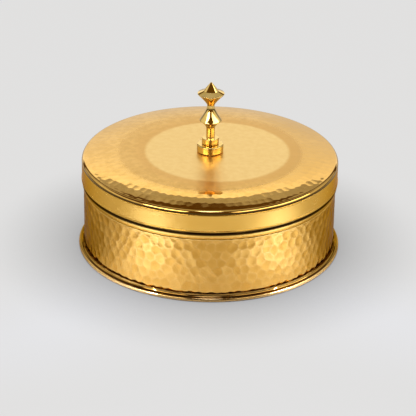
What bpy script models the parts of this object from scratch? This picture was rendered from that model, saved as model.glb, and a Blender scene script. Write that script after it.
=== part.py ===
"""Round brass roti box with a lift-off lid and a turned finial knob.

The box is sheet metalwork: a wall swaged with a stop bead, a floor plate, a coved foot ring, and a lid of a crowned
top on a plain band. The mouth and the foot are rolled over a wire. The knob is a solid turned finial on a base
disc, held by one screw from inside the lid. Every size is in metres, +Z is up and the table is at zero.
"""

import math

import bpy

# Sheet, gaps and fits
SHEET = 0.0009  # brass sheet of the wall, floor, foot and lid
JOINT_GAP = 0.0003  # between pieces that are brazed, screwed or seated together
LID_CLEARANCE = 0.0005  # round the neck, so that the lid lifts off by hand

# Lid
LID_RADIUS = 0.1080  # outside of the plain band
LID_BAND_HEIGHT = 0.0160
LID_FLANGE_WIDTH = 0.0050  # turned in at the top of the band, under the lid's top
LID_CORNER_RADIUS = 0.0003  # inside of the bend between band and flange
LID_LIP_PROUD = 0.0004  # the band's lower edge stands out this far
LID_LIP_HEIGHT = 0.0018
LID_SHOULDER_RADIUS = 0.0033
LID_PANEL_RADIUS = 0.0620  # flat middle of the top
LID_CROWN = 0.0038  # rise of the flat middle above the shoulder

# Body
BODY_HEIGHT = 0.0750  # table to the top of the mouth
NECK_DEPTH = 0.0140  # part of the body that goes up into the lid
MOUTH_WIRE_RADIUS = 0.0006
MOUTH_CURL_DEGREES = 250.0  # how far the mouth's edge is rolled round its wire
STOP_BEAD_PROUD = 0.0011
STOP_BEAD_HEIGHT = 0.0052
CREASE_DEPTH = 0.0003  # fine groove under the stop bead
CREASE_HEIGHT = 0.0014

# Floor and foot
FLOOR_RIM_HEIGHT = 0.0030  # rim turned down, standing on the foot ring's flange
FLOOR_BEND_RADIUS = 0.0006  # inside of the bend above that rim
FOOT_WIRE_RADIUS = 0.0005
FOOT_COVE_RADIUS = 0.0018  # hollow sweep out to the rolled edge
FOOT_COLLAR_LAND = 0.0010  # upright part of the foot ring that holds the wall
FOOT_LEDGE_WIDTH = 0.0023  # flat flange under the box, past the floor's rim

# Knob, from the lid upwards
KNOB_RADIUS = 0.0112  # of its base disc, and of its brim, which is as wide
KNOB_BASE_HEIGHT = 0.0070
KNOB_BASE_ROUND = 0.0012
COLLAR_RADIUS = 0.0072
COLLAR_HEIGHT = 0.0052
COLLAR_ROUND = 0.0005
NECK_RADIUS = 0.0036
NECK_HEIGHT = 0.0088
BELL_RADIUS = 0.0094
BELL_UNDER_HEIGHT = 0.0068
BELL_OVER_HEIGHT = 0.0117
WAIST_RADIUS = 0.0032
WAIST_HEIGHT = 0.0024
BRIM_UNDER_HEIGHT = 0.0096
BRIM_EDGE_HEIGHT = 0.0006
BRIM_RISE = 0.0023
TIP_CONE_RADIUS = 0.0062
TIP_CONE_HEIGHT = 0.0074
TIP_ROUND = 0.0006

# Screw and washer that hold the knob
SCREW_RADIUS = 0.0020
SCREW_HEAD_RADIUS = 0.0040
SCREW_HEAD_HEIGHT = 0.0024
SCREW_HEAD_ROUND = 0.0009
SCREW_POINT_CHAMFER = 0.0005
SCREW_GRIP = 0.0075  # length of screw in the finial
SCREW_TAP_SPARE = 0.0015  # depth of the tapped hole past the screw's end
SLOT_WIDTH = 0.0010
SLOT_DEPTH = 0.0012
WASHER_RADIUS = 0.0075
WASHER_THICKNESS = 0.0010

# Overrun of a cutter past the face that it cuts
CUT_OVERRUN = 0.0010

# Points closer than this are one point
MERGE_DISTANCE = 0.00001

# Curves: 1 is a straight slope, and more is a hollow flare or a border that falls ever faster
LID_BORDER_POWER = 2.2
BELL_OVER_POWER = 1.3
BELL_UNDER_POWER = 1.5
BRIM_UNDER_POWER = 1.2

# Facets round each turned piece, and along each curve of its outline
SHELL_STEPS = 48
KNOB_STEPS = 28
SCREW_STEPS = 20
WIRE_SIDES = 6
BEAD_FACETS = 7
SWAGE_FACETS = 6
SHOULDER_FACETS = 4
BORDER_FACETS = 5
FLARE_FACETS = 5
COVE_FACETS = 3
CORNER_FACETS = 2
SHARP_DEGREES = 38.0  # a sharper corner than this isn't shaded smooth

# Radii that fit one piece into the next
WALL_RADIUS = LID_RADIUS - SHEET - LID_CLEARANCE
MOUTH_BEAD_RADIUS = MOUTH_WIRE_RADIUS + JOINT_GAP + SHEET
MOUTH_BEAD_CENTRE = WALL_RADIUS - MOUTH_BEAD_RADIUS
FLOOR_RADIUS = WALL_RADIUS - SHEET - JOINT_GAP
FOOT_BEAD_RADIUS = FOOT_WIRE_RADIUS + JOINT_GAP + SHEET
FOOT_COLLAR_RADIUS = WALL_RADIUS + JOINT_GAP + SHEET
FOOT_BEAD_CENTRE = FOOT_COLLAR_RADIUS + FOOT_COVE_RADIUS
FOOT_LEDGE_RADIUS = FLOOR_RADIUS - SHEET - FOOT_LEDGE_WIDTH
SHOULDER_CENTRE = LID_RADIUS - LID_SHOULDER_RADIUS
SCREW_HOLE_RADIUS = SCREW_RADIUS + JOINT_GAP

# Heights that seat one piece on the next. The lid's band rests on the slope of the stop bead.
SEAT_Z = SHEET + JOINT_GAP
FLOOR_Z = SEAT_Z + FLOOR_RIM_HEIGHT
FOOT_COVE_Z = 2 * FOOT_BEAD_RADIUS + FOOT_COVE_RADIUS
MOUTH_BEAD_Z = BODY_HEIGHT - MOUTH_BEAD_RADIUS
STOP_BEAD_Z = BODY_HEIGHT - NECK_DEPTH - STOP_BEAD_HEIGHT / 2
STOP_SEAT_SHARE = math.sqrt(1 - (LID_CLEARANCE / STOP_BEAD_PROUD) ** 2)
LID_EDGE_Z = STOP_BEAD_Z + STOP_SEAT_SHARE * STOP_BEAD_HEIGHT / 2 + JOINT_GAP
LID_BAND_TOP_Z = LID_EDGE_Z + LID_BAND_HEIGHT
SHOULDER_Z = LID_BAND_TOP_Z + JOINT_GAP
LID_PANEL_Z = SHOULDER_Z + LID_SHOULDER_RADIUS + LID_CROWN
KNOB_BASE_Z = LID_PANEL_Z + JOINT_GAP
FINIAL_Z = KNOB_BASE_Z + KNOB_BASE_HEIGHT + JOINT_GAP
WASHER_Z = LID_PANEL_Z - SHEET - JOINT_GAP
SCREW_SEAT_Z = WASHER_Z - WASHER_THICKNESS - JOINT_GAP
SCREW_LOW_Z = SCREW_SEAT_Z - SCREW_HEAD_HEIGHT


def clear_scene():
    for old in list(bpy.data.objects):
        bpy.data.objects.remove(old, do_unlink=True)


def new_collection(name):
    made = bpy.data.collections.new(name)
    bpy.context.scene.collection.children.link(made)
    return made


def new_empty(name, collection):
    made = bpy.data.objects.new(name, None)
    collection.objects.link(made)
    return made


def metal(name, colour, roughness):
    material = bpy.data.materials.new(name)
    material.use_nodes = True
    shader = material.node_tree.nodes["Principled BSDF"]
    shader.inputs["Base Color"].default_value = (*colour, 1.0)
    shader.inputs["Roughness"].default_value = roughness
    shader.inputs["Metallic"].default_value = 1.0
    return material


def arc(centre, radius, start, end, facets):
    """Points of an arc in the (radius, height) plane, with its angles in degrees."""
    points = []
    for step in range(facets + 1):
        angle = math.radians(start + (end - start) * step / facets)
        points.append((centre[0] + radius * math.cos(angle), centre[1] + radius * math.sin(angle)))
    return points


def swage(radius, middle, proud, half_height, facets):
    """Points of a half-round bead raised on an upright wall, from its top to its bottom."""
    points = []
    for step in range(facets + 1):
        angle = math.pi * step / facets
        points.append((radius + proud * math.sin(angle), middle + half_height * math.cos(angle)))
    return points


def flare(stem, rim, power):
    """Points of a hollow cone from its stem to its rim."""
    points = []
    for step in range(FLARE_FACETS + 1):
        share = step / FLARE_FACETS
        points.append((stem[0] + (rim[0] - stem[0]) * share**power, stem[1] + (rim[1] - stem[1]) * share))
    return points


def rounded_rim(rim_radius, top, bottom, corner):
    """Outer side of a disc, from its top face to its bottom face, with both corners rounded."""
    centre = rim_radius - corner
    upper = arc((centre, top - corner), corner, 90.0, 0.0, CORNER_FACETS)
    return upper + arc((centre, bottom + corner), corner, 0.0, -90.0, CORNER_FACETS)


def sheet_section(side):
    """Closed outline of a sheet: its outer side, then its inner side on the way back."""
    return side(0.0) + side(SHEET)[::-1]


def turned(name, outline, steps, material, collection, ring=True):
    """Object turned from an outline of (radius, height) points that runs down its outer side. A ring's outline is
    closed, and any other outline starts and ends on the axis."""
    edges = [(index, index + 1) for index in range(len(outline) - 1)]
    if ring:
        edges.append((len(outline) - 1, 0))
    mesh = bpy.data.meshes.new(name)
    mesh.from_pydata([(radius, 0.0, height) for radius, height in outline], edges, [])
    mesh.materials.append(material)
    made = bpy.data.objects.new(name, mesh)
    collection.objects.link(made)
    screw = made.modifiers.new("Turn", "SCREW")
    screw.axis = "Z"
    screw.angle = math.tau
    screw.steps = steps
    screw.render_steps = steps
    screw.use_merge_vertices = True
    screw.merge_threshold = MERGE_DISTANCE
    return made


def box_cutter(name, size, centre, collection):
    bpy.ops.mesh.primitive_cube_add(size=1.0, location=centre)
    made = bpy.context.object
    made.name = name
    made.scale = size
    bpy.ops.object.transform_apply(location=False, rotation=False, scale=True)
    for linked in list(made.users_collection):
        linked.objects.unlink(made)
    collection.objects.link(made)
    made.hide_render = True
    made.display_type = "WIRE"
    return made


def cut(piece, cutter):
    boolean = piece.modifiers.new("Cut", "BOOLEAN")
    boolean.operation = "DIFFERENCE"
    boolean.object = cutter
    boolean.solver = "EXACT"


def finish(piece, parent):
    """Applies a piece's modifiers, shades its curves smooth and leaves its corners sharp."""
    graph = bpy.context.evaluated_depsgraph_get()
    mesh = bpy.data.meshes.new_from_object(piece.evaluated_get(graph))
    piece.modifiers.clear()
    piece.data = mesh
    mesh.shade_smooth()
    mesh.set_sharp_from_angle(angle=math.radians(SHARP_DEGREES))
    piece.parent = parent


def wire_outline(centre, radius):
    """Round wire inside a rolled edge, drawn clockwise so that it faces out."""
    return arc(centre, radius, 360.0, 360.0 / WIRE_SIDES, WIRE_SIDES - 1)


def wall_side(inset):
    """Wall of the body, from the end of its rolled mouth down past the neck, the stop bead and the crease."""
    radius = WALL_RADIUS - inset
    bead_half_height = STOP_BEAD_HEIGHT / 2 - inset
    crease_top = STOP_BEAD_Z - bead_half_height - inset
    mouth = (MOUTH_BEAD_CENTRE, MOUTH_BEAD_Z)
    side = arc(mouth, MOUTH_BEAD_RADIUS - inset, MOUTH_CURL_DEGREES, 0.0, BEAD_FACETS)
    side += swage(radius, STOP_BEAD_Z, STOP_BEAD_PROUD, bead_half_height, SWAGE_FACETS)
    side.append((radius - CREASE_DEPTH, crease_top - CREASE_HEIGHT / 2))
    side.append((radius, crease_top - CREASE_HEIGHT))
    side.append((radius, SEAT_Z))
    return side


def floor_side(inset):
    """Floor plate, from its middle out to the rim that is turned down inside the wall."""
    bend = FLOOR_BEND_RADIUS + SHEET
    side = [(0.0, FLOOR_Z - inset)]
    side += arc((FLOOR_RADIUS - bend, FLOOR_Z - bend), bend - inset, 90.0, 0.0, CORNER_FACETS)
    side.append((FLOOR_RADIUS - inset, SEAT_Z))
    return side


def foot_side(inset):
    """Foot ring: collar round the wall, hollow cove, rolled edge and the flat flange under the box."""
    side = [(FOOT_COLLAR_RADIUS - inset, FOOT_COVE_Z + FOOT_COLLAR_LAND)]
    side += arc((FOOT_BEAD_CENTRE, FOOT_COVE_Z), FOOT_COVE_RADIUS + inset, 180.0, 270.0, COVE_FACETS)
    side += arc((FOOT_BEAD_CENTRE, FOOT_BEAD_RADIUS), FOOT_BEAD_RADIUS - inset, 90.0, -90.0, BEAD_FACETS)[1:]
    side.append((FOOT_LEDGE_RADIUS, inset))
    return side


def lid_top_side(inset):
    """Top of the lid: flat middle round the screw's hole, falling border and rounded shoulder."""
    side = [(SCREW_HOLE_RADIUS, LID_PANEL_Z - inset)]
    border_width = SHOULDER_CENTRE - LID_PANEL_RADIUS
    for step in range(BORDER_FACETS):
        share = step / BORDER_FACETS
        fall = LID_CROWN * share**LID_BORDER_POWER
        side.append((LID_PANEL_RADIUS + border_width * share, LID_PANEL_Z - fall - inset))
    side += arc((SHOULDER_CENTRE, SHOULDER_Z), LID_SHOULDER_RADIUS - inset, 90.0, 0.0, SHOULDER_FACETS)
    return side


def lid_band_outline():
    """Band of the lid: flange under the top, upright band and the lip round its lower edge."""
    corner = LID_CORNER_RADIUS + SHEET
    bend = (LID_RADIUS - corner, LID_BAND_TOP_Z - corner)
    flange_radius = LID_RADIUS - LID_FLANGE_WIDTH
    lip_half_height = LID_LIP_HEIGHT / 2
    outline = [(flange_radius, LID_BAND_TOP_Z)]
    outline += arc(bend, corner, 90.0, 0.0, CORNER_FACETS)
    outline += swage(LID_RADIUS, LID_EDGE_Z + lip_half_height, LID_LIP_PROUD, lip_half_height, SWAGE_FACETS)
    outline.append((LID_RADIUS - SHEET, LID_EDGE_Z))
    outline += arc(bend, LID_CORNER_RADIUS, 0.0, 90.0, CORNER_FACETS)
    outline.append((flange_radius, LID_BAND_TOP_Z - SHEET))
    return outline


def knob_base_outline():
    """Disc under the finial."""
    top = KNOB_BASE_Z + KNOB_BASE_HEIGHT
    rim = rounded_rim(KNOB_RADIUS, top, KNOB_BASE_Z, KNOB_BASE_ROUND)
    return [(SCREW_HOLE_RADIUS, top), *rim, (SCREW_HOLE_RADIUS, KNOB_BASE_Z)]


def finial_outline():
    """Finial from its tip down to its collar, and up again in the tapped hole."""
    collar_top = FINIAL_Z + COLLAR_HEIGHT
    neck_top = collar_top + NECK_HEIGHT
    bell_rim = neck_top + BELL_UNDER_HEIGHT
    waist_low = bell_rim + BELL_OVER_HEIGHT
    waist_high = waist_low + WAIST_HEIGHT
    brim_low = waist_high + BRIM_UNDER_HEIGHT
    brim_high = brim_low + BRIM_EDGE_HEIGHT
    cone_low = brim_high + BRIM_RISE
    tip = cone_low + TIP_CONE_HEIGHT
    hole_end = FINIAL_Z + SCREW_GRIP + SCREW_TAP_SPARE
    outline = [(0.0, tip), (TIP_ROUND, tip - TIP_ROUND / 2)]
    outline += [(TIP_CONE_RADIUS, cone_low), (KNOB_RADIUS, brim_high)]
    outline += flare((WAIST_RADIUS, waist_high), (KNOB_RADIUS, brim_low), BRIM_UNDER_POWER)[::-1]
    outline += flare((WAIST_RADIUS, waist_low), (BELL_RADIUS, bell_rim), BELL_OVER_POWER)
    outline += flare((NECK_RADIUS, neck_top), (BELL_RADIUS, bell_rim), BELL_UNDER_POWER)[-2::-1]
    outline.append((NECK_RADIUS, collar_top))
    outline += rounded_rim(COLLAR_RADIUS, collar_top, FINIAL_Z, COLLAR_ROUND)
    return outline + [(SCREW_HOLE_RADIUS, FINIAL_Z), (SCREW_HOLE_RADIUS, hole_end), (0.0, hole_end)]


def screw_outline():
    """Pan-head screw, head down, with its point in the finial."""
    point = FINIAL_Z + SCREW_GRIP
    dome = (SCREW_HEAD_RADIUS - SCREW_HEAD_ROUND, SCREW_LOW_Z + SCREW_HEAD_ROUND)
    outline = [(0.0, point), (SCREW_RADIUS - SCREW_POINT_CHAMFER, point)]
    outline += [(SCREW_RADIUS, point - SCREW_POINT_CHAMFER), (SCREW_RADIUS, SCREW_SEAT_Z)]
    outline.append((SCREW_HEAD_RADIUS, SCREW_SEAT_Z))
    outline += arc(dome, SCREW_HEAD_ROUND, 0.0, -90.0, CORNER_FACETS)
    outline.append((0.0, SCREW_LOW_Z))
    return outline


def washer_outline():
    low = WASHER_Z - WASHER_THICKNESS
    upper_side = [(SCREW_HOLE_RADIUS, WASHER_Z), (WASHER_RADIUS, WASHER_Z)]
    return upper_side + [(WASHER_RADIUS, low), (SCREW_HOLE_RADIUS, low)]


def build_body(parts, drum_brass, plain_brass, steel):
    """Wall, floor and foot, with the wires in the two rolled edges."""
    mouth_wire = wire_outline((MOUTH_BEAD_CENTRE, MOUTH_BEAD_Z), MOUTH_WIRE_RADIUS)
    foot_wire = wire_outline((FOOT_BEAD_CENTRE, FOOT_BEAD_RADIUS), FOOT_WIRE_RADIUS)
    return [
        turned("body_wall", sheet_section(wall_side), SHELL_STEPS, drum_brass, parts),
        turned("mouth_wire", mouth_wire, SHELL_STEPS, steel, parts),
        turned("floor_plate", sheet_section(floor_side), SHELL_STEPS, plain_brass, parts, ring=False),
        turned("foot_ring", sheet_section(foot_side), SHELL_STEPS, plain_brass, parts),
        turned("foot_wire", foot_wire, SHELL_STEPS, steel, parts),
    ]


def build_lid(parts, top_brass, plain_brass):
    """Crowned top on its plain band."""
    return [
        turned("lid_top", sheet_section(lid_top_side), SHELL_STEPS, top_brass, parts),
        turned("lid_band", lid_band_outline(), SHELL_STEPS, plain_brass, parts),
    ]


def build_knob(parts, cutters, knob_brass, steel):
    """Finial and base disc, with the screw and washer that hold them from inside the lid."""
    slot_length = 2 * (SCREW_HEAD_RADIUS + CUT_OVERRUN)
    slot_height = SLOT_DEPTH + CUT_OVERRUN
    slot_z = SCREW_LOW_Z + SLOT_DEPTH - slot_height / 2
    slot = box_cutter("slot_cutter", (slot_length, SLOT_WIDTH, slot_height), (0.0, 0.0, slot_z), cutters)
    screw = turned("knob_screw", screw_outline(), SCREW_STEPS, steel, parts, ring=False)
    cut(screw, slot)
    return [
        turned("knob_base", knob_base_outline(), KNOB_STEPS, knob_brass, parts),
        turned("knob_finial", finial_outline(), KNOB_STEPS, knob_brass, parts, ring=False),
        turned("knob_washer", washer_outline(), SCREW_STEPS, steel, parts),
        screw,
    ]


def main():
    clear_scene()
    parts = new_collection("brass_roti_box")
    cutters = new_collection("cutters")
    drum_brass = metal("hammered_brass", (0.76, 0.50, 0.16), 0.30)
    top_brass = metal("planished_brass", (0.86, 0.60, 0.24), 0.22)
    plain_brass = metal("spun_brass", (0.80, 0.54, 0.18), 0.26)
    knob_brass = metal("polished_brass", (0.90, 0.64, 0.26), 0.08)
    steel = metal("plated_steel", (0.62, 0.62, 0.60), 0.30)

    box = new_empty("box", parts)
    lid = new_empty("lid", parts)
    lid.parent = box
    for piece in build_body(parts, drum_brass, plain_brass, steel):
        finish(piece, box)
    for piece in build_lid(parts, top_brass, plain_brass):
        finish(piece, lid)
    for piece in build_knob(parts, cutters, knob_brass, steel):
        finish(piece, lid)


main()
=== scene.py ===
"""Hammered brass roti box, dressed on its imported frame.

The sheet pieces and the knob are turned again with fine outlines, the wall and the lid's top
are hammered mark by mark, and every piece gets its own brass or steel finish. Sizes are in
metres and repeat those of the frame.
"""

import math

import bpy
import numpy as np
from mathutils import Matrix, Vector


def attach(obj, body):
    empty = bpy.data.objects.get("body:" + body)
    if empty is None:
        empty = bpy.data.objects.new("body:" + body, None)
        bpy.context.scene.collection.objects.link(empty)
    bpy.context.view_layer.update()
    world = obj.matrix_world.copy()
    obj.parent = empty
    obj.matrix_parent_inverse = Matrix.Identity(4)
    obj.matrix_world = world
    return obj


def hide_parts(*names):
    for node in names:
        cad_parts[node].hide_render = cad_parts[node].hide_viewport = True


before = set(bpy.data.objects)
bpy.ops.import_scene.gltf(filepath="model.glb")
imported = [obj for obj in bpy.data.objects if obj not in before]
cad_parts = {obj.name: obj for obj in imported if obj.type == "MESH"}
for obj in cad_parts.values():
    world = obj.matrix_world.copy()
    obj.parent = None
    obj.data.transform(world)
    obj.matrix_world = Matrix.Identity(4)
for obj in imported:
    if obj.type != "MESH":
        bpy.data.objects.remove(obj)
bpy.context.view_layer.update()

# Sheet and fits
SHEET = 0.0009
GAP = 0.0003
LID_CLEARANCE = 0.0005

# Lid
LID_RADIUS = 0.1080
LID_BAND_HEIGHT = 0.0160
LID_FLANGE_WIDTH = 0.0050
LID_CORNER_RADIUS = 0.0003
LID_LIP_PROUD = 0.0004
LID_LIP_HEIGHT = 0.0018
SHOULDER_RADIUS = 0.0033
PANEL_RADIUS = 0.0620
LID_CROWN = 0.0038
BORDER_POWER = 2.2
SHOULDER_START_DEGREES = 79.0
SCREW_HOLE_RADIUS = 0.0023

# Body
BODY_HEIGHT = 0.0750
MOUTH_CURL_DEGREES = 250.0
MOUTH_BEAD_RADIUS = 0.0018
BEAD_Z = 0.0584
BEAD_PROUD = 0.0011
BEAD_HALF_HEIGHT = 0.0026
CREASE_DEPTH = 0.0003
CREASE_HEIGHT = 0.0014
FLOOR_BEND_RADIUS = 0.0015
FLOOR_Z = 0.0042
FOOT_BEAD_RADIUS = 0.0017
FOOT_COVE_RADIUS = 0.0018
FOOT_LAND = 0.0010
FOOT_LEDGE_RADIUS = 0.1022

WALL_RADIUS = LID_RADIUS - SHEET - LID_CLEARANCE
SEAT_Z = SHEET + GAP
FLOOR_RADIUS = WALL_RADIUS - SHEET - GAP
FOOT_COLLAR_RADIUS = WALL_RADIUS + GAP + SHEET
FOOT_BEAD_CENTRE = FOOT_COLLAR_RADIUS + FOOT_COVE_RADIUS
FOOT_COVE_Z = 2 * FOOT_BEAD_RADIUS + FOOT_COVE_RADIUS
SEAT_SHARE = math.sqrt(1 - (LID_CLEARANCE / BEAD_PROUD) ** 2)
LID_EDGE_Z = BEAD_Z + SEAT_SHARE * BEAD_HALF_HEIGHT + GAP
LIP_TOP_Z = LID_EDGE_Z + LID_LIP_HEIGHT
BAND_TOP_Z = LID_EDGE_Z + LID_BAND_HEIGHT
SHOULDER_Z = BAND_TOP_Z + GAP
SHOULDER_CENTRE = LID_RADIUS - SHOULDER_RADIUS
PANEL_Z = SHOULDER_Z + SHOULDER_RADIUS + LID_CROWN
KNOB_BASE_Z = PANEL_Z + GAP

# Knob
KNOB_RADIUS = 0.0112
KNOB_BASE_HEIGHT = 0.0070
KNOB_BASE_ROUND = 0.0012
FINIAL_Z = KNOB_BASE_Z + KNOB_BASE_HEIGHT + GAP
COLLAR_RADIUS = 0.0072
COLLAR_HEIGHT = 0.0052
COLLAR_ROUND = 0.0005
NECK_RADIUS = 0.0036
NECK_HEIGHT = 0.0088
BELL_RADIUS = 0.0094
BELL_UNDER_HEIGHT = 0.0068
BELL_UNDER_POWER = 1.5
BELL_OVER_HEIGHT = 0.0117
BELL_OVER_POWER = 1.3
WAIST_RADIUS = 0.0032
WAIST_HEIGHT = 0.0024
BRIM_UNDER_HEIGHT = 0.0096
BRIM_UNDER_POWER = 1.2
BRIM_EDGE_HEIGHT = 0.0006
BRIM_RISE = 0.0023
TIP_CONE_RADIUS = 0.0062
TIP_CONE_HEIGHT = 0.0074
TIP_ROUND = 0.0006
TAPPED_HOLE_END = FINIAL_Z + 0.0090

# Outlines: where two points are one, which corners are rounded, how much of a side that takes
TOUCHING = 1e-7
MERGED = 1e-6
ROUNDED_DEGREES = 24.0
LONGEST_REACH = 0.42
SHARP_DEGREES = 40.0

# Hammer marks: pitch, depth, the radius of the hammer's crowned face, and how unevenly it falls
WALL_PITCH = 0.0083
WALL_ROW_SHARE = 0.88
WALL_MARK_DEPTH = 0.00042
WALL_HAMMER_RADIUS = 0.020
WALL_SCATTER = 0.20
WALL_TILT = 0.024
WALL_MARKS_LOW = 0.0040
WALL_MARKS_HIGH = 0.0541
WALL_MARKS_FADE = 0.0012
RIDGE_WIDTH = 0.00009
HOLLOW_RADIUS = 0.36 * WALL_PITCH
LID_PITCH = 0.0066
LID_MARK_DEPTH = 0.00005
LID_HAMMER_RADIUS = 0.170
LID_SCATTER = 0.13
LID_TILT = 0.002
LID_MARKS_EDGE = (SHOULDER_CENTRE + 0.0008, SHOULDER_CENTRE - 0.0012)
DEPTH_SPREAD = (0.93, 1.07)
FACE_SPREAD = (0.92, 1.1)
POINTS_AT_ONCE = 6000

# Long soft waves of hand work: their pitches as shares, and how steeply they climb
WAVE_SHARES = (1.0, 1.7, 2.9)
WAVE_CLIMB = (200.0, 500.0)

# Inside of the wall that is left as plain sheet
LINING_RADIUS = WALL_RADIUS - SHEET * 0.6
LINING_TOP = 0.0712

# Where finishes, painted shade and painted highlights change, in metres: each pair goes from none
# of it to all of it
BEAD_POLISH = (0.0538, 0.0545)
CREASE_TARNISH = ((0.0545, 0.0550), (0.0560, 0.0555))
DRUM_EDGE_HIGHLIGHT = ((0.0534, 0.0538), (0.0545, 0.0541))
SEAT_SHADE = ((0.0581, 0.0589), (0.0650, 0.0625))
NECK_DULLNESS = (0.0600, 0.0640)
DRUM_LOW_SHADE = (0.036, 0.006)
LID_POLISHED_AND_BRIGHT_ASIDE = 0.006
LID_POLISHED_AND_BRIGHT_MIDDLE = (0.0625, 0.0585)
LID_HALO_SHADE = ((0.0590, 0.0625), (0.0740, 0.0640))
LID_SOFT = (0.0825, 0.0750)
LID_RIGHT_MOTTLE_AND_SHADE = (0.030, 0.085)
LID_SEAM_SHADE = (SHOULDER_Z + 0.0013, SHOULDER_Z + 0.0007)
BAND_SEAM_SHADE = (BAND_TOP_Z - 0.0006, BAND_TOP_Z - 0.0002)
BAND_LIP = (LIP_TOP_Z + 0.0003, LIP_TOP_Z - 0.0003)
UNDER_LIP_SHADE = (LID_EDGE_Z + 0.0012, LID_EDGE_Z + 0.0006)
FOOT_FRONT = (-0.088, -0.106)
FOOT_RIM = (0.0036, 0.0032)
FOOT_SEAM_SHADE = ((0.0030, 0.0033), (0.0039, 0.0036))
FOOT_COLLAR = (0.0052, 0.0060)

# Colours that several finishes share
# Near-black brown: painted shade in the lid's seam, under the band's lip and in the foot's seam,
# and the darkened top of the foot's collar.
TARNISH_AND_SHADE = (0.05, 0.022, 0.004)
EDGE_TINT = (0.72, 0.52, 0.32, 1.0)
DUSK_BROWN = (0.115, 0.060, 0.011, 1.0)

# Floor: shade on both sides of the box, and how much of the floor's own pale colour is seen
BESIDE_BOX = ((-0.09, -0.02), (0.12, 0.07))
BESIDE_REACH = (0.215, 0.170)
PALE_TO_CAMERA = 0.98
PALE_TO_METAL = 0.3
PALE_LOST_BESIDE = 0.1

# Light of the room, as (height or arch, level) stops
DUSK = "dusk"
BEHIND = (
    (0.0, 0.80), (0.26, 0.95), (0.45, 1.13), (0.54, 1.28), (0.603, 1.50), (0.616, 0.52),
    (0.645, 0.49), (0.684, 0.60), (0.699, DUSK), (0.88, DUSK), (0.96, 0.50),
)
BEFORE = ((0.0, 0.25), (0.12, 0.20), (0.25, DUSK), (0.88, DUSK), (0.96, 0.50))
SIDES = (
    (0.0, 0.06), (0.12, 0.07), (0.22, 0.75), (0.56, 0.85), (0.66, DUSK), (0.88, DUSK),
    (0.96, 0.50),
)
ARCH_WIDTH = 1.9
SIDES_TO_BACK = (1.15, 0.65)
BACK_TO_FRONT = (1.9, 2.3)

# Lamps
SPOT_DISTANCE = 1.3
SPOT_COLOUR = (0.69, 0.835, 1.4)
SOFTBOX_TARGET = (0.0, 0.0, 0.05)


# Outlines, as (radius, height) points

def arc(centre, radius, start, end, facets):
    """Points of an arc, its angles in degrees."""
    turns = np.radians(np.linspace(start, end, facets + 1))
    return [(centre[0] + radius * math.cos(t), centre[1] + radius * math.sin(t)) for t in turns]


def run(start, end, facets):
    """Points along a straight line, without its first."""
    wide, tall = end[0] - start[0], end[1] - start[1]
    shares = [step / facets for step in range(1, facets + 1)]
    return [(start[0] + wide * share, start[1] + tall * share) for share in shares]


def swage(radius, middle, proud, half_height, facets):
    """Half-round bead raised on an upright wall, from its top to its bottom."""
    turns = [math.pi * step / facets for step in range(facets + 1)]
    return [(radius + proud * math.sin(t), middle + half_height * math.cos(t)) for t in turns]


def flare(stem, rim, power, facets):
    """Hollow cone from its stem to its rim."""
    wide, tall = rim[0] - stem[0], rim[1] - stem[1]
    shares = [step / facets for step in range(facets + 1)]
    return [(stem[0] + wide * share**power, stem[1] + tall * share) for share in shares]


def eased(outline, radius, closed=True):
    """The outline with each sharp corner rounded off over about this radius."""
    points = [Vector(point) for point in outline]
    count = len(points)
    rounded = []
    for index, corner in enumerate(points):
        if not closed and index in (0, count - 1):
            rounded.append(tuple(corner))
            continue
        back = points[index - 1] - corner
        on = points[(index + 1) % count] - corner
        if back.length < TOUCHING or on.length < TOUCHING:
            continue
        bend = math.pi - back.angle(on)
        if bend < math.radians(ROUNDED_DEGREES):
            rounded.append(tuple(corner))
            continue
        longest = LONGEST_REACH * min(back.length, on.length)
        reach = min(radius * math.tan(bend / 2), longest)
        first = corner + back.normalized() * reach
        last = corner + on.normalized() * reach
        for share in (0.0, 0.25, 0.5, 0.75, 1.0):
            low = first.lerp(corner, share)
            high = corner.lerp(last, share)
            rounded.append(tuple(low.lerp(high, share)))
    return rounded


def wall_side(inset, facets, rows):
    """Wall from the end of its rolled mouth down to the foot, with this many facets round its
    mouth and its bead, and this many rows down its drum."""
    radius = WALL_RADIUS - inset
    mouth = (WALL_RADIUS - MOUTH_BEAD_RADIUS, BODY_HEIGHT - MOUTH_BEAD_RADIUS)
    half_height = BEAD_HALF_HEIGHT - inset
    crease_top = BEAD_Z - BEAD_HALF_HEIGHT
    side = arc(mouth, MOUTH_BEAD_RADIUS - inset, MOUTH_CURL_DEGREES, 0.0, facets)
    side += run(side[-1], (radius, BEAD_Z + half_height), facets=2)
    side += swage(radius, BEAD_Z, BEAD_PROUD, half_height, facets)[1:]
    creases = facets // 2
    for step in range(1, creases + 1):
        depth = CREASE_DEPTH * math.sin(math.pi * step / creases)
        side.append((radius - depth, crease_top - CREASE_HEIGHT * step / creases))
    side += run(side[-1], (radius, WALL_MARKS_LOW), rows)
    side.append((radius, SEAT_Z))
    return side


def floor_side(inset):
    """Floor plate, from its middle out to the rim that is turned down inside the wall."""
    bend = (FLOOR_RADIUS - FLOOR_BEND_RADIUS, FLOOR_Z - FLOOR_BEND_RADIUS)
    side = [(0.0, FLOOR_Z - inset)]
    side += run(side[0], (bend[0], FLOOR_Z - inset), facets=24)
    side += arc(bend, FLOOR_BEND_RADIUS - inset, 90.0, 0.0, facets=6)[1:]
    side.append((FLOOR_RADIUS - inset, SEAT_Z))
    return side


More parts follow.
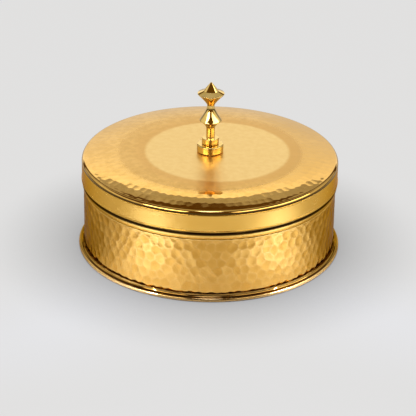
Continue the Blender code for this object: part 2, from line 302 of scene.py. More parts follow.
def foot_side(inset):
    """Foot ring: collar round the wall, hollow cove, rolled edge and the flat flange under the
    box."""
    collar = FOOT_COLLAR_RADIUS - inset
    cove = (FOOT_BEAD_CENTRE, FOOT_COVE_Z)
    bead = (FOOT_BEAD_CENTRE, FOOT_BEAD_RADIUS)
    side = [(collar, FOOT_COVE_Z + FOOT_LAND)]
    side += run(side[0], (collar, FOOT_COVE_Z), facets=2)
    side += arc(cove, FOOT_COVE_RADIUS + inset, 180.0, 270.0, facets=10)[1:]
    side += arc(bead, FOOT_BEAD_RADIUS - inset, 90.0, -90.0, facets=18)[1:]
    side += run(side[-1], (FOOT_LEDGE_RADIUS, inset), facets=4)
    return side


def lid_top_side(inset, panel_rows, border_rows, facets):
    """Top of the lid: flat middle round the screw's hole, falling border, and a rounded
    shoulder that goes on from the border's slope."""
    side = [(SCREW_HOLE_RADIUS, PANEL_Z - inset)]
    side += run(side[0], (PANEL_RADIUS, PANEL_Z - inset), panel_rows)
    centre = (SHOULDER_CENTRE, SHOULDER_Z)
    shoulder = arc(centre, SHOULDER_RADIUS - inset, SHOULDER_START_DEGREES, 0.0, facets)
    fall = PANEL_Z - inset - shoulder[0][1]
    for step in range(1, border_rows):
        share = step / border_rows
        radius = PANEL_RADIUS + (shoulder[0][0] - PANEL_RADIUS) * share
        side.append((radius, PANEL_Z - inset - fall * share**BORDER_POWER))
    return side + shoulder


def band_outline():
    """Band of the lid: flange under the top, upright band and the lip round its lower edge."""
    corner = LID_CORNER_RADIUS + SHEET
    bend = (LID_RADIUS - corner, BAND_TOP_Z - corner)
    flange_radius = LID_RADIUS - LID_FLANGE_WIDTH
    lip = LID_LIP_HEIGHT / 2
    outline = [(flange_radius, BAND_TOP_Z)]
    outline += arc(bend, corner, 90.0, 0.0, facets=8)
    outline += run(outline[-1], (LID_RADIUS, LIP_TOP_Z), facets=10)
    outline += swage(LID_RADIUS, LID_EDGE_Z + lip, LID_LIP_PROUD, lip, facets=10)[1:]
    outline.append((LID_RADIUS - SHEET, LID_EDGE_Z))
    outline += arc(bend, LID_CORNER_RADIUS, 0.0, 90.0, facets=4)
    outline.append((flange_radius, BAND_TOP_Z - SHEET))
    return outline


def rounded_rim(radius, top, bottom, corner):
    """Side of a disc from its top face to its bottom face, with both corners rounded."""
    upper = arc((radius - corner, top - corner), corner, 90.0, 0.0, facets=8)
    return upper + arc((radius - corner, bottom + corner), corner, 0.0, -90.0, facets=8)


def knob_base_outline():
    """Disc under the finial."""
    top = KNOB_BASE_Z + KNOB_BASE_HEIGHT
    rim = rounded_rim(KNOB_RADIUS, top, KNOB_BASE_Z, KNOB_BASE_ROUND)
    return [(SCREW_HOLE_RADIUS, top), *rim, (SCREW_HOLE_RADIUS, KNOB_BASE_Z)]


def finial_outline():
    """Finial from its tip down to its collar, and up again in the tapped hole."""
    collar_top = FINIAL_Z + COLLAR_HEIGHT
    neck_top = collar_top + NECK_HEIGHT
    bell_low = neck_top + BELL_UNDER_HEIGHT
    waist_low = bell_low + BELL_OVER_HEIGHT
    waist_high = waist_low + WAIST_HEIGHT
    brim_low = waist_high + BRIM_UNDER_HEIGHT
    brim_high = brim_low + BRIM_EDGE_HEIGHT
    cone_low = brim_high + BRIM_RISE
    tip = cone_low + TIP_CONE_HEIGHT
    fall = (TIP_CONE_HEIGHT - TIP_ROUND / 2) / (TIP_CONE_RADIUS - TIP_ROUND)
    lean = math.atan(1 / fall)
    point = tip - TIP_ROUND / 2 + TIP_ROUND * fall
    nose = (point - tip) / (1 / math.sin(lean) - 1)
    bell_rim = (BELL_RADIUS, bell_low)
    brim_rim = (KNOB_RADIUS, brim_low)
    outline = arc((0.0, tip - nose), nose, 90.0, math.degrees(lean), facets=6)
    outline += [(TIP_CONE_RADIUS, cone_low), (KNOB_RADIUS, brim_high)]
    outline += flare((WAIST_RADIUS, waist_high), brim_rim, BRIM_UNDER_POWER, facets=14)[::-1]
    outline += flare((WAIST_RADIUS, waist_low), bell_rim, BELL_OVER_POWER, facets=16)
    outline += flare((NECK_RADIUS, neck_top), bell_rim, BELL_UNDER_POWER, facets=14)[-2::-1]
    outline.append((NECK_RADIUS, collar_top))
    outline += rounded_rim(COLLAR_RADIUS, collar_top, FINIAL_Z, COLLAR_ROUND)
    outline.append((SCREW_HOLE_RADIUS, FINIAL_Z))
    outline.append((SCREW_HOLE_RADIUS, TAPPED_HOLE_END))
    outline.append((0.0, TAPPED_HOLE_END))
    return outline


# Lathe and hammer

def turn(name, outline, steps, closed=True):
    """A piece turned on the axis: one vertex is drawn along the outline, and a lathe modifier
    sweeps the line."""
    points = [Vector((radius, 0.0, height)) for radius, height in outline]
    if closed:
        points.append(points[0])
    bpy.ops.object.select_all(action="DESELECT")
    bpy.ops.mesh.primitive_plane_add(size=SHEET, location=points[0])
    bpy.ops.object.transform_apply(location=True, rotation=True, scale=True)
    piece = bpy.context.object
    piece.name = piece.data.name = name
    bpy.ops.object.mode_set(mode="EDIT")
    bpy.ops.mesh.select_all(action="SELECT")
    bpy.ops.mesh.merge(type="CENTER")
    for before, after in zip(points, points[1:]):
        bpy.ops.mesh.extrude_vertices_move(TRANSFORM_OT_translate={"value": after - before})
    bpy.ops.mesh.select_all(action="SELECT")
    bpy.ops.mesh.remove_doubles(threshold=MERGED)
    bpy.ops.object.mode_set(mode="OBJECT")
    lathe = piece.modifiers.new("Lathe", "SCREW")
    lathe.steps = lathe.render_steps = steps
    lathe.use_merge_vertices = True
    lathe.merge_threshold = MERGED
    bpy.ops.object.modifier_apply(modifier=lathe.name)
    bpy.ops.object.mode_set(mode="EDIT")
    bpy.ops.mesh.select_all(action="SELECT")
    bpy.ops.mesh.remove_doubles(threshold=MERGED)
    bpy.ops.mesh.normals_make_consistent(inside=False)
    bpy.ops.object.mode_set(mode="OBJECT")
    bpy.ops.object.shade_smooth_by_angle(angle=math.radians(SHARP_DEGREES))
    return piece


def places(piece):
    """Coordinates of a piece's vertices, one row each."""
    flat = np.empty(3 * len(piece.data.vertices))
    piece.data.vertices.foreach_get("co", flat)
    return flat.reshape(-1, 3)


def put(piece, coordinates):
    """Moves a piece's vertices to these coordinates."""
    piece.data.vertices.foreach_set("co", coordinates.ravel())
    piece.data.update()


def store(piece, name, values):
    """Keeps one number for each vertex, for the finish to read."""
    layer = piece.data.attributes.new(name, "FLOAT", "POINT")
    layer.data.foreach_set("value", np.asarray(values, np.float32))


def marks(spots, at, depth, hammer_radius, seat_radius, tilt, chance):
    """Surface left by many blows. Each is a shallow dish, a little tilted, and the deepest
    wins. Returns how far the surface lies below the unworked one, how far each point is from
    a ridge, a tone for the blow that made it, and the distance from that blow's middle."""
    count = len(spots)
    deep = depth * chance.uniform(*DEPTH_SPREAD, count)
    curve = 0.5 / (hammer_radius * chance.uniform(*FACE_SPREAD, count))
    lean = chance.normal(0.0, tilt, (count, 2))
    tones = chance.uniform(0.0, 1.0, count)
    seat = 0.5 / seat_radius if seat_radius else 0.0
    lowest, ridge, tone, away = np.empty((4, len(at)))
    for first in range(0, len(at), POINTS_AT_ONCE):
        some = slice(first, first + POINTS_AT_ONCE)
        part = at[some]
        across = part[:, None, 0] - spots[None, :, 0]
        if seat_radius:
            around = math.tau * seat_radius
            across -= around * np.round(across / around)
        along = part[:, None, 1] - spots[None, :, 1]
        dish = -deep + (curve + seat) * across**2 + curve * along**2
        dish += lean[:, 0] * across + lean[:, 1] * along
        two = np.partition(dish, 1, axis=1)[:, :2]
        lowest[some] = np.minimum(two[:, 0], 0.0)
        ridge[some] = two[:, 1] - two[:, 0]
        blow = np.argmin(dish, axis=1)
        each = np.arange(len(part))
        tone[some] = tones[blow]
        away[some] = np.hypot(across[each, blow], along[each, blow])
    return lowest, ridge, tone, away


def rows_of_blows(length, low, high, pitch, chance):
    """Staggered rows of blows round a drum, each a little out of place."""
    row_height = pitch * WALL_ROW_SHARE
    each = round(length / pitch)
    spots = []
    for row in range(int((high - low) / row_height) + 2):
        for place in range(each):
            stagger = 0.5 * (row % 2)
            spots.append(((place + stagger) * length / each, low + row * row_height))
    spots = np.array(spots)
    return spots + chance.uniform(-WALL_SCATTER, WALL_SCATTER, spots.shape) * pitch


def rings_of_blows(radius, pitch, chance):
    """Rings of blows from the middle of a disc to its border."""
    spots = []
    for ring in range(1, int(radius / pitch) + 2):
        each = round(math.tau * ring)
        turned = chance.uniform(0.0, math.tau)
        for place in range(each):
            angle = turned + math.tau * place / each
            spots.append((ring * pitch * math.cos(angle), ring * pitch * math.sin(angle)))
    spots = np.array(spots)
    return spots + chance.uniform(-LID_SCATTER, LID_SCATTER, spots.shape) * pitch


def fade(values, start, end):
    """0 at start and 1 at end, easing in between."""
    share = np.clip((values - start) / (end - start), 0.0, 1.0)
    return share * share * (3.0 - 2.0 * share)


def hammer_wall(wall):
    """Hammers the outside of the drum, and keeps ridges, hollows and tones for its finish."""
    chance = np.random.default_rng(7)
    at = places(wall)
    radius = np.hypot(at[:, 0], at[:, 1])
    angle = np.arctan2(at[:, 1], at[:, 0])
    length = math.tau * WALL_RADIUS
    spots = rows_of_blows(length, WALL_MARKS_LOW, WALL_MARKS_HIGH, WALL_PITCH, chance)
    unrolled = np.stack([angle * WALL_RADIUS, at[:, 2]], 1)
    hammer = (WALL_MARK_DEPTH, WALL_HAMMER_RADIUS, WALL_RADIUS, WALL_TILT)
    drop, ridge, tone, away = marks(spots, unrolled, *hammer, chance)
    in_drum = fade(at[:, 2], WALL_MARKS_HIGH, WALL_MARKS_HIGH - WALL_MARKS_FADE)
    in_drum = in_drum * fade(at[:, 2], SEAT_Z, WALL_MARKS_LOW)
    outside = radius > WALL_RADIUS - SHEET / 2
    drop *= in_drum * np.where(outside, 1.0, 0.0)
    store(wall, "ridge", np.exp(-ridge / RIDGE_WIDTH) * in_drum)
    store(wall, "hollow", np.exp(-(away / HOLLOW_RADIUS) ** 2) * in_drum)
    store(wall, "tone", tone * in_drum + 0.5 * (1.0 - in_drum))
    moved = (radius + drop) / radius
    at[:, 0] *= moved
    at[:, 1] *= moved
    put(wall, at)


def hammer_lid(lid):
    """Hammers the lid's top finely up to its shoulder, and keeps tones for its finish."""
    chance = np.random.default_rng(11)
    at = places(lid)
    radius = np.hypot(at[:, 0], at[:, 1])
    spots = rings_of_blows(SHOULDER_CENTRE, LID_PITCH, chance)
    hammer = (LID_MARK_DEPTH, LID_HAMMER_RADIUS, 0.0, LID_TILT)
    drop, _, tone, _ = marks(spots, at[:, :2], *hammer, chance)
    worked = fade(radius, *LID_MARKS_EDGE)
    store(lid, "tone", tone * worked + 0.5 * (1.0 - worked))
    at[:, 2] += drop * worked
    put(lid, at)


def uneven(piece, depth, pitch, seed):
    """Hand-worked unevenness: the surface is drawn in by up to twice this depth, in long soft
    waves."""
    chance = np.random.default_rng(seed)
    at = places(piece)
    angle = np.arctan2(at[:, 1], at[:, 0])
    radius = np.hypot(at[:, 0], at[:, 1])
    wave = np.zeros(len(at))
    around = math.tau * radius.max()
    for share in WAVE_SHARES:
        turns = round(around / pitch * share)
        climb = at[:, 2] * chance.uniform(*WAVE_CLIMB)
        wave += np.sin(turns * angle + climb + chance.uniform(0, math.tau)) / share
        wave += np.sin((turns + 5) * angle - climb + chance.uniform(0, math.tau)) / share
    inward = depth * (1.3 + 0.7 * wave / np.abs(wave).max())
    scale = (radius - inward) / np.maximum(radius, 1e-9)
    at[:, 0] *= scale
    at[:, 1] *= scale
    put(piece, at)


# Finishes

class Signal:
    """A shader value that takes part in Python arithmetic: each operation adds a Math node."""

    def __init__(self, graph, socket):
        self.graph = graph
        self.socket = socket

    def maths(self, operation, first, second):
        return self.graph.node("ShaderNodeMath", {"operation": operation}, {0: first, 1: second})

    def __add__(self, other):
        return self.maths("ADD", self, other)

    def __mul__(self, other):
        return self.maths("MULTIPLY", self, other)

    def __sub__(self, other):
        return self.maths("SUBTRACT", self, other)

    def __rsub__(self, other):
        return self.maths("SUBTRACT", other, self)

    __radd__ = __add__
    __rmul__ = __mul__


class Graph:
    """The node tree of a finish or of the world."""

    def __init__(self, owner):
        owner.use_nodes = True
        self.tree = owner.node_tree

    def feed(self, socket, value):
        """Links a signal to a socket, or sets the socket to a plain value."""
        if isinstance(value, Signal):
            self.tree.links.new(value.socket, socket)
        else:
            socket.default_value = value

    def node(self, kind, settings=None, values=None, output=0):
        """A node of this type, its settings made first, with its sockets set or linked."""
        made = self.tree.nodes.new(kind)
        for name, value in (settings or {}).items():
            if name == "stops":
                for place, colour in value[2:]:
                    made.color_ramp.elements.new(place)
                for stop, (place, colour) in zip(made.color_ramp.elements, sorted(value)):
                    stop.position = place
                    stop.color = colour
            else:
                setattr(made, name, value)
        for name, value in (values or {}).items():
            self.feed(made.inputs[name], value)
        return Signal(self, made.outputs[output])

    def place(self):
        """Where a point lies, in the box's own coordinates."""
        return self.node("ShaderNodeTexCoord", output="Object")

    def stretched(self, scale):
        return self.node("ShaderNodeMapping", None, {"Vector": self.place(), "Scale": scale})

    def part(self, vector, axis):
        """One coordinate of a place or a direction."""
        return self.node("ShaderNodeSeparateXYZ", None, {0: vector}, output=axis)

    def from_axis(self, offset=(0.0, 0.0, 0.0)):
        """Distance from the box's upright axis, or from one beside it."""
        values = {"Vector": self.place(), "Location": offset, "Scale": (1.0, 1.0, 0.0)}
        flat = self.node("ShaderNodeMapping", None, values)
        return self.node("ShaderNodeVectorMath", {"operation": "LENGTH"}, {0: flat}, output="Value")

    def noise(self, vector, scale, detail=3.0, roughness=0.5):
        values = {"Vector": vector, "Scale": scale, "Detail": detail, "Roughness": roughness}
        return self.node("ShaderNodeTexNoise", {"noise_dimensions": "3D"}, values)

    def between(self, value, low, high):
        """Eases from 0 to 1 while value goes from low to high."""
        values = {"Value": value, "From Min": low, "From Max": high}
        return self.node("ShaderNodeMapRange", {"interpolation_type": "SMOOTHSTEP"}, values)

    def strip(self, value, rise, fall):
        """Eases from 0 to 1 over the rise, and back to 0 over the fall."""
        return self.between(value, *rise) * self.between(value, *fall)

    def mix(self, share, first, second):
        """Colour between two others."""
        settings = {"data_type": "RGBA", "blend_type": "MIX"}
        values = {0: share, 6: colour4(first), 7: colour4(second)}
        return self.node("ShaderNodeMix", settings, values, output=2)

    def levels(self, value, stops):
        """Light that follows these (place, level) stops, a little warmer than white. Where it
        is dark it turns brown."""
        lights = []
        for place, level in stops:
            if level == DUSK:
                lights.append((place, DUSK_BROWN))
            else:
                lights.append((place, (level, level * 0.985, level * 0.96, 1.0)))
        return self.node("ShaderNodeValToRGB", {"stops": lights}, {0: value})


def colour4(colour):
    return colour if isinstance(colour, Signal) else (*colour, 1.0)


class Metal(Graph):
    """A finish on a Principled shader, metal unless it is set otherwise."""

    def __init__(self, name):
        self.material = bpy.data.materials.new(name)
        super().__init__(self.material)
        self.shader = self.tree.nodes["Principled BSDF"]
        self.set("Metallic", 1.0)

    def set(self, socket, value):
        self.feed(self.shader.inputs[socket], value)

    def height(self):
        return self.part(self.place(), "Z")

    def stored(self, name):
        """A number kept for each vertex."""
        return self.node("ShaderNodeAttribute", {"attribute_name": name}, output="Fac")

    def lines(self, vector, scale=1.0):
        """Fine marks of the tool, from 0 to 1."""
        return self.noise(vector, scale, detail=6.0, roughness=0.6)

    def relief(self, height, distance):
        values = {"Height": height, "Distance": distance, "Strength": 1.0}
        self.set("Normal", self.node("ShaderNodeBump", None, values))


def hammered_brass():
    """Wall: a soft shine between the ridges of its marks, which are lighter, partly rubbed and
    partly a painted highlight, darker in their hollows, painted shade towards the foot, a painted
    highlight line at the drum's top edge, a polished stop bead over a crease, a painted black shade
    line where the lid sits, and a duller neck above it."""
    metal = Metal("hammered_brass")
    height = metal.height()
    clouds = metal.noise(metal.place(), 34.0)
    grain = metal.lines(metal.stretched((260.0, 260.0, 900.0)))
    ridge = metal.stored("ridge")
    bead = metal.between(height, *BEAD_POLISH)
    crease = metal.strip(height, *CREASE_TARNISH)
    edge = metal.strip(height, *DRUM_EDGE_HIGHLIGHT)
    seat = metal.strip(height, *SEAT_SHADE)
    neck = metal.between(height, *NECK_DULLNESS)
    low_shade = metal.between(height, *DRUM_LOW_SHADE)
    shade = metal.between(0.6 * metal.stored("tone") + 0.4 * clouds, 0.15, 0.85)
    base = metal.mix(shade, (0.74, 0.385, 0.062), (0.905, 0.510, 0.108))
    dished = metal.mix(metal.stored("hollow") * 0.24, base, (0.62, 0.30, 0.035))
    # Ridges are lighter, partly rubbed and partly a painted highlight; the drum's top edge gets a
    # painted highlight line.
    rubbed_and_lit = metal.mix(ridge * 0.30 + edge * 0.4, dished, (0.99, 0.70, 0.28))
    beaded = metal.mix(bead * 0.85, rubbed_and_lit, (0.99, 0.585, 0.120))
    creased = metal.mix(crease * 0.60, beaded, (0.90, 0.475, 0.050))
    # Painted shade: the drum is darker towards the foot.
    low_shaded = metal.mix(low_shade * 0.5, creased, (0.62, 0.33, 0.055))
    dull = metal.mix(neck * 0.5, low_shaded, (0.55, 0.31, 0.075))
    # The seat strip is painted shade: a near-black line just under the lid's lip.
    metal.set("Base Color", metal.mix(seat * 0.97, dull, (0.025, 0.011, 0.003)))
    soft = 0.13 + 0.04 * clouds + 0.03 * grain - 0.02 * ridge
    metal.set("Roughness", soft * (1.0 - bead) + bead * 0.07 + neck * 0.16)
    metal.set("Specular Tint", EDGE_TINT)
    metal.relief(grain, 0.000005)
    return metal.material


def planished_brass():
    """Lid's top: soft on its middle, which was polished a little to one side and is painted
    brighter there as a painted reflection, ringed by painted shade, and a mirror over the falling
    border and the shoulder. The border is mottled darker on its right, partly as painted shade, and
    a painted shade line lies at its seam above the band."""
    metal = Metal("planished_brass")
    radius = metal.from_axis()
    polished = metal.from_axis((-LID_POLISHED_AND_BRIGHT_ASIDE, 0.0, 0.0))
    clouds = metal.noise(metal.place(), 26.0)
    mottle = metal.between(metal.lines(metal.place(), 190.0), 0.36, 0.64)
    fine = metal.lines(metal.place(), 700.0)
    middle = metal.between(polished, *LID_POLISHED_AND_BRIGHT_MIDDLE)
    halo_shade = metal.strip(polished, *LID_HALO_SHADE)
    soft = metal.between(radius, *LID_SOFT)
    right = metal.between(metal.part(metal.place(), "X"), *LID_RIGHT_MOTTLE_AND_SHADE)
    seam = metal.between(metal.height(), *LID_SEAM_SHADE)
    tones = 0.12 * metal.stored("tone") + 0.58 * clouds + 0.30 * mottle
    even = metal.mix(metal.between(tones, 0.25, 0.75), (0.73, 0.42, 0.088), (0.84, 0.505, 0.128))
    # The border's right side is darkened with a mottle: partly mottled tone, partly painted shade.
    border = metal.mix(right * (0.20 + 0.45 * mottle), even, (0.60, 0.335, 0.062))
    # Painted shade: a darker ring round the brighter middle.
    halo_shaded = metal.mix(halo_shade * 0.50, border, (0.72, 0.395, 0.080))
    # The middle is painted brighter: a painted reflection over the polished middle, set a little to
    # one side.
    painted_bright_middle = metal.mix(mottle, (0.96, 0.65, 0.215), (1.0, 0.70, 0.250))
    # The seam strip at the shoulder's foot is painted shade, near black.
    metal.set("Base Color", metal.mix(seam * 0.9, metal.mix(middle, halo_shaded, painted_bright_middle), TARNISH_AND_SHADE))
    metal.set("Roughness", 0.03 + 0.25 * soft + 0.05 * middle + 0.02 * clouds + 0.03 * fine)
    metal.relief(0.6 * mottle + 0.4 * fine, 0.000004)
    return metal.material


def spun_brass(name, scale, dull, bright, relief):
    """Brass polished on the lathe, with fine lines round it. Returns the finish, its colour
    and how much rougher its lines make it."""
    metal = Metal(name)
    lines = metal.lines(metal.stretched(scale))
    clouds = metal.noise(metal.place(), 40.0)
    base = metal.mix(metal.between(0.4 * lines + 0.6 * clouds, 0.35, 0.65), dull, bright)
    metal.set("Specular Tint", EDGE_TINT)
    metal.relief(lines, relief)
    return metal, base, 0.06 * lines + 0.04 * clouds


def band_brass():
    """Lid's band: a soft shine down to a bright lip, with painted shade under the lip and in the
    seam below the lid's top."""
    pale, paler = (0.95, 0.54, 0.095), (0.98, 0.575, 0.118)
    metal, base, rough = spun_brass("band_brass", (8.0, 8.0, 1900.0), pale, paler, 0.000006)
    height = metal.height()
    lip = metal.between(height, *BAND_LIP)
    under = metal.between(height, *UNDER_LIP_SHADE)
    seam = metal.between(height, *BAND_SEAM_SHADE)
    # Under the lip and at the seam the band is painted near black: painted shade.
    metal.set("Base Color", metal.mix(under * 0.97 + seam * 0.9, base, TARNISH_AND_SHADE))
    metal.set("Roughness", (0.21 + rough) * (1.0 - lip * 0.8))
    return metal.material


def foot_brass():
    """Foot ring: a mirror in its cove, with a soft rim painted pale as a painted reflection,
    painted shade in the seam above it, and the collar's top darkened, more in spots. Its front is
    darkened with painted shade."""
    dull, bright = (0.44, 0.23, 0.04), (0.74, 0.43, 0.10)
    metal, base, rough = spun_brass("foot_brass", (20.0, 20.0, 1500.0), dull, bright, 0.000003)
    height = metal.height()
    front = metal.between(metal.part(metal.place(), "Y"), *FOOT_FRONT)
    rim = metal.between(height, *FOOT_RIM)
    seam = metal.strip(height, *FOOT_SEAM_SHADE)
    collar = metal.between(height, *FOOT_COLLAR)
    spots = metal.between(metal.noise(metal.place(), 260.0), 0.38, 0.55)
    # The rim is painted pale: a painted reflection over its rougher finish.
    rubbed_and_lit = metal.mix(rim, base, (0.99, 0.64, 0.22))
    # Painted shade: the front of the foot is darker.
    front_shaded = metal.mix(front * 0.68, rubbed_and_lit, (0.17, 0.085, 0.018))
    # Painted shade in the seam above the rim; the collar's top is darkened, more in spots.
    tarnish_and_shade = seam * 0.75 + collar * (0.45 + 0.5 * spots)
    metal.set("Base Color", metal.mix(tarnish_and_shade, front_shaded, TARNISH_AND_SHADE))
    metal.set("Roughness", (0.05 + rough) * 0.2 + rim * (0.22 - 0.14 * front))
    return metal.material


def mirror_brass():
    """Knob: mirror polished, with faint turning lines and soft clouds."""
    metal = Metal("mirror_brass")
    lines = metal.lines(metal.stretched((60.0, 60.0, 2600.0)))
    clouds = metal.noise(metal.place(), 160.0)
    shade = metal.between(clouds, 0.35, 0.7)
    metal.set("Base Color", metal.mix(shade, (0.90, 0.60, 0.16), (0.97, 0.68, 0.24)))
    metal.set("Roughness", 0.035 + 0.03 * lines + 0.02 * clouds)
    metal.relief(lines, 0.000002)
    return metal.material


def inside_brass():
    """Inside of the box and the underside of the lid: plain sheet, duller than the outside."""
    metal = Metal("inside_brass")
    clouds = metal.noise(metal.place(), 22.0)
    lines = metal.lines(metal.stretched((420.0, 420.0, 420.0)))
    shade = metal.between(clouds, 0.3, 0.7)
    metal.set("Base Color", metal.mix(shade, (0.70, 0.44, 0.13), (0.84, 0.55, 0.18)))
    metal.set("Roughness", 0.30 + 0.10 * clouds + 0.08 * lines)
    metal.relief(lines, 0.000008)
    return metal.material


def plated_steel():
    """Screw, washer and wires: zinc-plated steel with a dull bloom."""
    metal = Metal("plated_steel")
    clouds = metal.noise(metal.place(), 300.0)
    shade = metal.between(clouds, 0.35, 0.65)
    metal.set("Base Color", metal.mix(shade, (0.52, 0.53, 0.54), (0.68, 0.67, 0.63)))
    metal.set("Roughness", 0.28 + 0.14 * clouds)
    metal.relief(clouds, 0.000010)
    return metal.material


# Pieces

def stands_for(piece, node, body, slot, *finishes):
    """Gives a turned piece its finish and its place in the frame."""
    for finish in finishes:
        piece.data.materials.append(finish)
    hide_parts(node)
    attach(piece, body)


def line_inside(piece, is_inside):
    """Gives the second finish to the faces that lie inside."""
    for face in piece.data.polygons:
        if is_inside(face):
            face.material_index = 1


def inside_wall(face):
    middle = face.center
    return math.hypot(middle.x, middle.y) < LINING_RADIUS and middle.z < LINING_TOP


def faces_down(face):
    return face.normal.z < -0.3


def make_body(brass, foot_finish, lining):
    outside = wall_side(0.0, facets=10, rows=56)
    wall = turn("hammered_wall", outside + wall_side(SHEET, facets=6, rows=6)[::-1], steps=900)
    hammer_wall(wall)
    stands_for(wall, "body_wall", "box", "hammered_brass", brass, lining)
    line_inside(wall, inside_wall)
    sheet = foot_side(0.0) + foot_side(SHEET)[::-1]
    foot = turn("coved_foot", eased(sheet, radius=0.0002), steps=360)
    uneven(foot, depth=0.00005, pitch=0.030, seed=3)
    stands_for(foot, "foot_ring", "box", "spun_brass", foot_finish)
    sheet = floor_side(0.0) + floor_side(SHEET)[::-1]
    floor = turn("box_floor", sheet, steps=240, closed=False)
    stands_for(floor, "floor_plate", "box", "spun_brass", lining)


def make_lid(top_finish, band_finish, lining):
    sheet = lid_top_side(0.0, panel_rows=30, border_rows=70, facets=16)
    sheet += lid_top_side(SHEET, panel_rows=4, border_rows=8, facets=6)[::-1]
    top = turn("planished_top", sheet, steps=720)
    hammer_lid(top)
    stands_for(top, "lid_top", "lid", "planished_brass", top_finish, lining)
    line_inside(top, faces_down)
    band = turn("plain_band", eased(band_outline(), radius=0.00015), steps=360)
    uneven(band, depth=0.00004, pitch=0.060, seed=5)
    stands_for(band, "lid_band", "lid", "spun_brass", band_finish)


def make_knob(brass):
    base = turn("knob_disc", knob_base_outline(), steps=128)
    stands_for(base, "knob_base", "lid", "polished_brass", brass)
    outline = eased(finial_outline(), radius=0.0004, closed=False)
    finial = turn("turned_finial", outline, steps=128, closed=False)
    stands_for(finial, "knob_finial", "lid", "polished_brass", brass)


def refinish(node, finish):
    """Carries a frame node over with a finish of its own."""
    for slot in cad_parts[node].material_slots:
        slot.material = finish


# Studio

def plain_floor():
    """Table that the camera sees evenly pale, with a soft shade round the box. Metal mirrors
    the lit table and part of that pale one."""
    bpy.ops.object.select_all(action="DESELECT")
    bpy.ops.mesh.primitive_circle_add(vertices=128, radius=6.0, fill_type="NGON")
    floor = bpy.context.object
    floor.name = "plain_floor"
    paint = Metal("pale_floor")
    beside = paint.strip(paint.part(paint.place(), "Y"), *BESIDE_BOX)
    beside = beside * paint.between(paint.from_axis(), *BESIDE_REACH)
    paint.set("Base Color", paint.mix(beside, (0.72, 0.715, 0.705), (0.50, 0.495, 0.49)))
    paint.set("Metallic", 0.0)
    paint.set("Roughness", 0.9)
    pale = {"Color": (0.76, 0.755, 0.75, 1.0), "Distance": 0.09}
    shade = paint.node("ShaderNodeAmbientOcclusion", None, pale)
    even = paint.node("ShaderNodeEmission", None, {"Color": shade})
    seen = paint.node("ShaderNodeLightPath", output="Is Camera Ray")
    mirrored = paint.node("ShaderNodeLightPath", output="Is Glossy Ray")
    through = paint.node("ShaderNodeLightPath", output="Is Transmission Ray")
    to_metal = (PALE_TO_METAL - PALE_LOST_BESIDE * beside) * (mirrored + through)
    lit = Signal(paint, paint.shader.outputs[0])
    parts = {0: PALE_TO_CAMERA * seen + to_metal, 1: lit, 2: even}
    shown = paint.node("ShaderNodeMixShader", None, parts)
    paint.feed(paint.tree.nodes["Material Output"].inputs["Surface"], shown)
    floor.data.materials.append(paint.material)


def stand(name, lamp, target, azimuth, elevation, distance):
    """Stands a lamp so that it faces a target. Azimuth 0 is on the camera's side, and positive
    to its right."""
    made = bpy.data.objects.new(name, lamp)
    bpy.context.scene.collection.objects.link(made)
    around, up = math.radians(azimuth), math.radians(elevation)
    level = math.cos(up)
    away = Vector((math.sin(around) * level, -math.cos(around) * level, math.sin(up)))
    made.location = Vector(target) + away * distance
    made.rotation_euler = away.to_track_quat("Z", "Y").to_euler()


def softbox(name, azimuth, elevation, distance, width, height, power):
    """Area lamp that faces the box."""
    lamp = bpy.data.lights.new(name, "AREA")
    lamp.shape = "RECTANGLE"
    lamp.size = width
    lamp.size_y = height
    lamp.energy = power
    stand(name, lamp, SOFTBOX_TARGET, azimuth, elevation, distance)


def spotlight(name, azimuth, elevation, onto, degrees, blend, size, power):
    """Lamp that lays a pool of light on one place of the table."""
    lamp = bpy.data.lights.new(name, "SPOT")
    lamp.energy = power
    lamp.color = SPOT_COLOUR
    lamp.spot_size = math.radians(degrees)
    lamp.spot_blend = blend
    lamp.shadow_soft_size = size
    stand(name, lamp, (*onto, 0.0), azimuth, elevation, SPOT_DISTANCE)


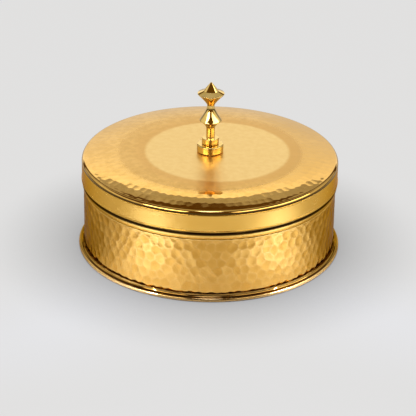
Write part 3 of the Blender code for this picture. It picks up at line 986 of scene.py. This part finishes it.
def studio_world():
    """Room round the table, which the metal mirrors: a bright arch behind the box under a dark
    ceiling, lit walls at the sides and a dim front. The camera sees it pale."""
    world = bpy.data.worlds.new("studio")
    bpy.context.scene.world = world
    room = Graph(world)
    background = room.tree.nodes["Background"]
    direction = room.node("ShaderNodeTexCoord", output="Generated")
    across = room.part(direction, "X")
    back = room.part(direction, "Y")
    up = room.part(direction, "Z")
    aside = room.node("ShaderNodeMath", {"operation": "ABSOLUTE"}, {0: across})
    turned = room.node("ShaderNodeMath", {"operation": "ARCTAN2"}, {0: aside, 1: back})
    behind = room.levels(up + ARCH_WIDTH * across * across, BEHIND)
    sides = room.levels(up, SIDES)
    before = room.levels(up, BEFORE)
    back_half = room.mix(room.between(turned, *SIDES_TO_BACK), sides, behind)
    shown = room.mix(room.between(turned, *BACK_TO_FRONT), back_half, before)
    seen = room.node("ShaderNodeLightPath", output="Is Camera Ray")
    room.feed(background.inputs["Color"], room.mix(seen, shown, (0.93, 0.925, 0.92)))
    room.feed(background.inputs["Strength"], 1.0)


def photo_camera():
    """Camera of the photo: 26 degrees above the table, with a slight roll."""
    elevation = math.radians(25.956)
    distance = 1.6366
    target = Vector((-0.00106, 0.0, 0.0310))
    lens = bpy.data.cameras.new("photo_camera")
    lens.sensor_width = 36.0
    lens.lens = 165.93
    lens.clip_start = 0.05
    lens.clip_end = 30.0
    camera = bpy.data.objects.new("photo_camera", lens)
    bpy.context.scene.collection.objects.link(camera)
    away = Vector((0.0, -math.cos(elevation), math.sin(elevation)))
    tilt = Matrix.Rotation(math.pi / 2 - elevation, 4, "X")
    roll = Matrix.Rotation(math.radians(0.903), 4, "Z")
    camera.matrix_world = Matrix.Translation(target + away * distance) @ tilt @ roll
    bpy.context.scene.camera = camera


lining = inside_brass()
make_body(hammered_brass(), foot_brass(), lining)
make_lid(planished_brass(), band_brass(), lining)
make_knob(mirror_brass())
steel = plated_steel()
for node in ("mouth_wire", "foot_wire", "knob_washer", "knob_screw"):
    refinish(node, steel)

plain_floor()
softbox(
    "left_key", azimuth=-40.0, elevation=34.0, distance=1.3, width=0.80, height=0.36, power=4.8
)
softbox(
    "right_key", azimuth=62.0, elevation=38.0, distance=1.3, width=1.70, height=0.38, power=6.6
)
spotlight(
    "left_spot", azimuth=-50.0, elevation=36.0, onto=(-0.112, -0.145),
    degrees=5.9, blend=0.7, size=0.05, power=345.0
)
spotlight(
    "right_spot", azimuth=66.0, elevation=36.0, onto=(0.146, -0.136),
    degrees=6.1, blend=0.7, size=0.05, power=345.0
)
spotlight(
    "front_wash", azimuth=0.0, elevation=74.0, onto=(0.01, -0.340),
    degrees=22.5, blend=1.0, size=0.25, power=41.0
)
studio_world()
photo_camera()
bpy.context.scene.view_settings.view_transform = "Standard"
